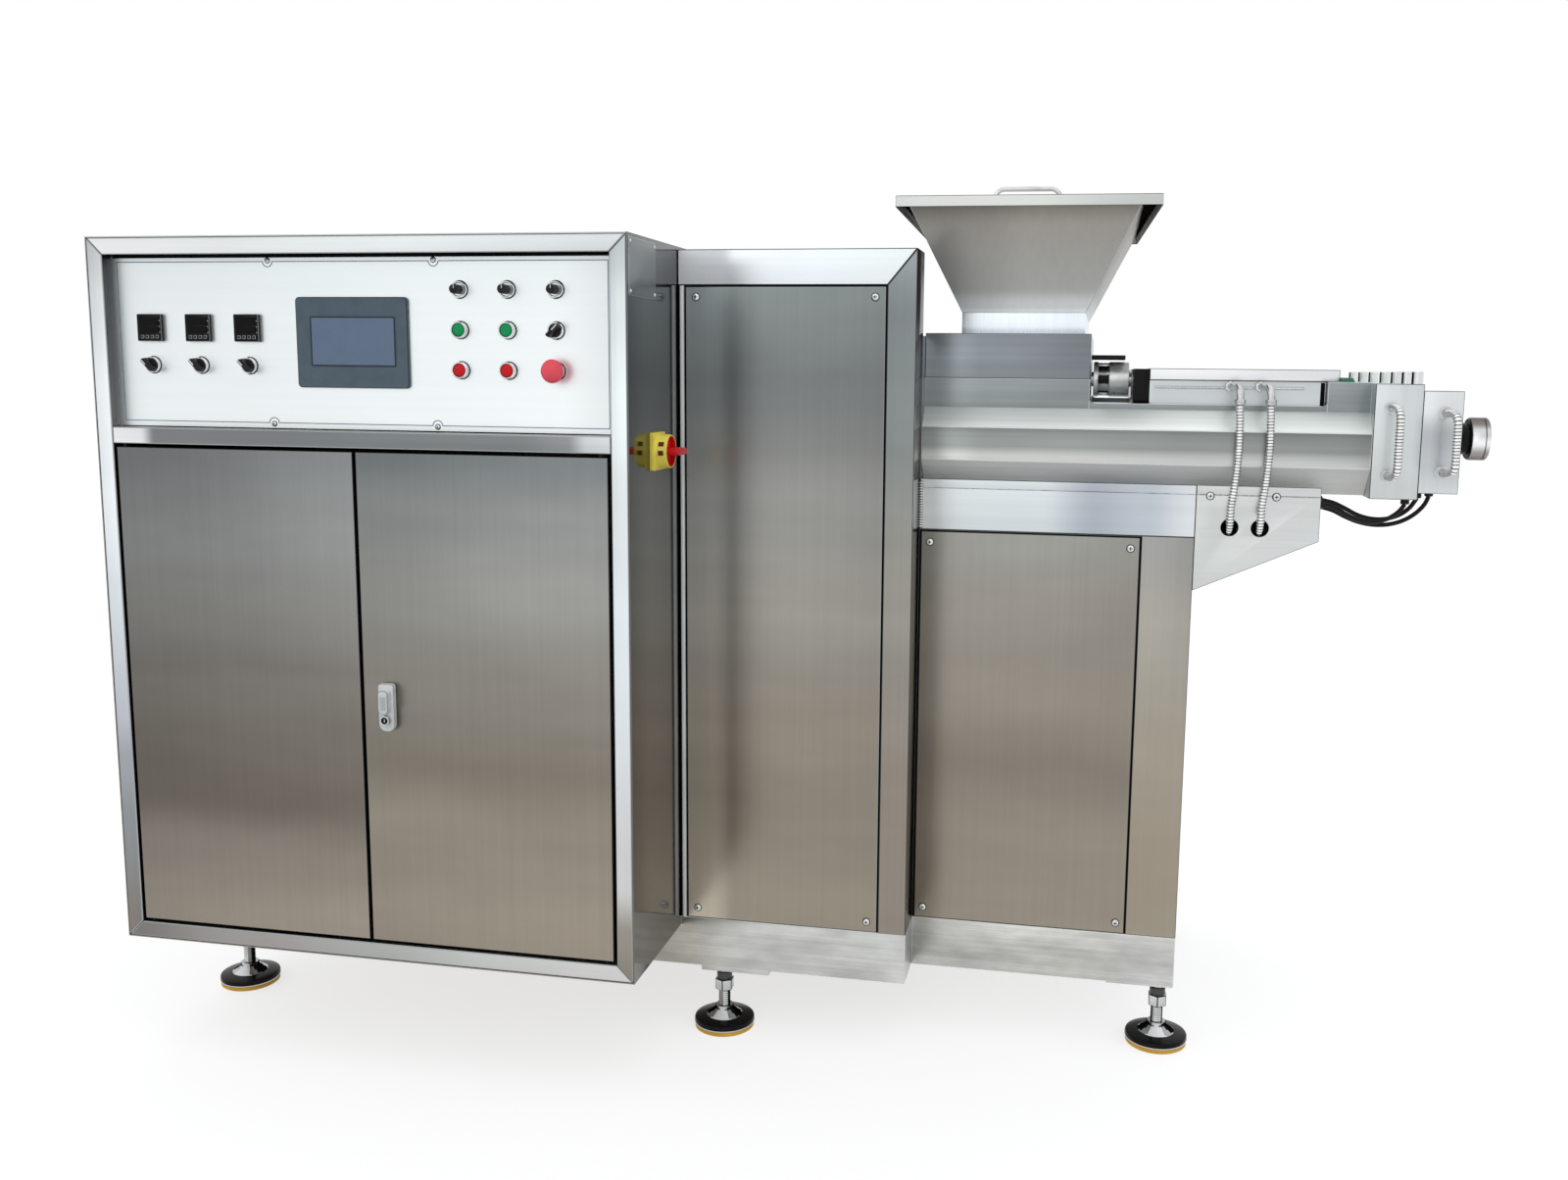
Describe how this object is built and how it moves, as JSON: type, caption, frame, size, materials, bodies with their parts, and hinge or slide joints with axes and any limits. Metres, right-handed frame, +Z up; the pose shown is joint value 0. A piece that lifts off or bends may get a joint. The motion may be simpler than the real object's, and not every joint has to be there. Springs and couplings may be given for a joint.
{
  "type": "candy extruder",
  "caption": "Stainless steel candy extruder with a control cabinet, drive column, chamfered barrel jacket, lidded feed hopper and outlet nozzles",
  "frame": {"origin": "middle of the machine's footprint at floor level", "axes": "+X to the right along the barrels, +Y to the back, +Z up"},
  "size_m": [2.454, 1.121, 1.6623],
  "materials": {
    "frame_steel": "brushed stainless",
    "mirror_steel": "near mirror stainless",
    "door_steel": "brushed stainless, darker",
    "panel_steel": "pale fine brushed",
    "satin_steel": "satin, pale",
    "bright_metal": "polished",
    "hose_steel": "corrugated, bright",
    "slate_plastic": "matt",
    "black_plastic": "matt",
    "green_plastic": "glossy",
    "red_plastic": "glossy",
    "yellow_plastic": "glossy",
    "amber_rubber": "soft, translucent look",
    "black_rubber": "satin"
  },
  "bodies": {
    "machine": {"cabinet_frame": "frame_steel", "cabinet_left_side": "frame_steel", "cabinet_right_side": "mirror_steel", "cabinet_top": "frame_steel", "cabinet_floor": "frame_steel", "cabinet_back": "frame_steel", "control_panel": "panel_steel", "operator_screen": "slate_plastic", "temperature_controllers": "black_plastic", "control_collars": "bright_metal", "main_switch_plate": "yellow_plastic", "drive_column": "frame_steel", "drive_front_cover": "door_steel", "drive_housing": "frame_steel", "drive_rear_cover": "door_steel", "base_frame": "frame_steel", "base_front_cover": "door_steel", "base_rear_cover": "door_steel", "support_beam": "satin_steel", "cable_bracket": "satin_steel", "foot_stems": "bright_metal", "foot_plates": "bright_metal", "foot_rings": "amber_rubber", "barrel_jacket": "frame_steel", "feed_block": "frame_steel", "hopper": "satin_steel", "drive_coupling": "bright_metal", "coupling_guard": "black_plastic", "bearing_plate": "black_plastic", "head_drive_housing": "satin_steel", "head_drive_cover": "satin_steel", "head_block": "satin_steel", "die_blocks": "satin_steel", "nozzles": "bright_metal", "hose_fittings": "bright_metal", "cable_glands": "black_plastic", "long_hose_1": "hose_steel", "long_hose_2": "hose_steel", "short_hose_1": "hose_steel", "short_hose_2": "hose_steel", "cable_1": "black_rubber", "cable_2": "black_rubber", "cable_3": "black_rubber"},
    "left_door": {"left_door": "door_steel"},
    "right_door": {"right_door": "door_steel", "door_lock": "bright_metal"},
    "main_switch_handle": {"main_switch_handle": "red_plastic"},
    "hopper_lid": {"hopper_lid": "satin_steel"},
    "speed_knob_1": {"speed_knob_1": "black_plastic"},
    "speed_knob_2": {"speed_knob_2": "black_plastic"},
    "speed_knob_3": {"speed_knob_3": "black_plastic"},
    "start_button_1": {"start_button_1": "green_plastic"},
    "start_button_2": {"start_button_2": "green_plastic"},
    "stop_button_1": {"stop_button_1": "red_plastic"},
    "stop_button_2": {"stop_button_2": "red_plastic"},
    "head_selector": {"head_selector": "black_plastic"},
    "emergency_stop": {"emergency_stop": "red_plastic"},
    "heat_selector_1": {"heat_selector_1": "black_plastic"},
    "heat_selector_2": {"heat_selector_2": "black_plastic"},
    "heat_selector_3": {"heat_selector_3": "black_plastic"}
  },
  "joints": [
    {"name": "left_door_hinge", "type": "hinge", "parent": "machine", "child": "left_door", "pos_m": [-1.159, -0.5335, 0.7], "axis": [0, 0, -1], "range_deg": [0, 110]},
    {"name": "right_door_hinge", "type": "hinge", "parent": "machine", "child": "right_door", "pos_m": [-0.263, -0.5335, 0.7], "axis": [0, 0, 1], "range_deg": [0, 110]},
    {"name": "main_switch_turn", "type": "hinge", "parent": "machine", "child": "main_switch_handle", "pos_m": [-0.211, -0.4005, 1.147], "axis": [1, 0, 0], "range_deg": [0, 90]},
    {"name": "hopper_lid_lift", "type": "slide", "parent": "machine", "child": "hopper_lid", "axis": [0, 0, 1], "range_m": [0, 0.2]},
    {"name": "speed_knob_1_turn", "type": "hinge", "parent": "machine", "child": "speed_knob_1", "pos_m": [-0.517, -0.5145, 1.419], "axis": [0, 1, 0], "range_deg": [-135, 135]},
    {"name": "speed_knob_2_turn", "type": "hinge", "parent": "machine", "child": "speed_knob_2", "pos_m": [-0.431, -0.5145, 1.419], "axis": [0, 1, 0], "range_deg": [-135, 135]},
    {"name": "speed_knob_3_turn", "type": "hinge", "parent": "machine", "child": "speed_knob_3", "pos_m": [-0.345, -0.5145, 1.419], "axis": [0, 1, 0], "range_deg": [-135, 135]},
    {"name": "start_button_1_press", "type": "slide", "parent": "machine", "child": "start_button_1", "axis": [0, 1, 0], "range_m": [0, 0.004], "stiffness_N_per_m": 800},
    {"name": "start_button_2_press", "type": "slide", "parent": "machine", "child": "start_button_2", "axis": [0, 1, 0], "range_m": [0, 0.004], "stiffness_N_per_m": 800},
    {"name": "stop_button_1_press", "type": "slide", "parent": "machine", "child": "stop_button_1", "axis": [0, 1, 0], "range_m": [0, 0.004], "stiffness_N_per_m": 800},
    {"name": "stop_button_2_press", "type": "slide", "parent": "machine", "child": "stop_button_2", "axis": [0, 1, 0], "range_m": [0, 0.004], "stiffness_N_per_m": 800},
    {"name": "emergency_stop_press", "type": "slide", "parent": "machine", "child": "emergency_stop", "axis": [0, 1, 0], "range_m": [0, 0.004], "stiffness_N_per_m": 800},
    {"name": "head_selector_turn", "type": "hinge", "parent": "machine", "child": "head_selector", "pos_m": [-0.345, -0.5145, 1.3515], "axis": [0, -1, 0], "range_deg": [0, 90]},
    {"name": "heat_selector_1_turn", "type": "hinge", "parent": "machine", "child": "heat_selector_1", "pos_m": [-1.106, -0.5145, 1.288], "axis": [0, 1, 0], "range_deg": [0, 90]},
    {"name": "heat_selector_2_turn", "type": "hinge", "parent": "machine", "child": "heat_selector_2", "pos_m": [-1.011, -0.5145, 1.288], "axis": [0, 1, 0], "range_deg": [0, 90]},
    {"name": "heat_selector_3_turn", "type": "hinge", "parent": "machine", "child": "heat_selector_3", "pos_m": [-0.916, -0.5145, 1.288], "axis": [0, 1, 0], "range_deg": [0, 90]}
  ]
}
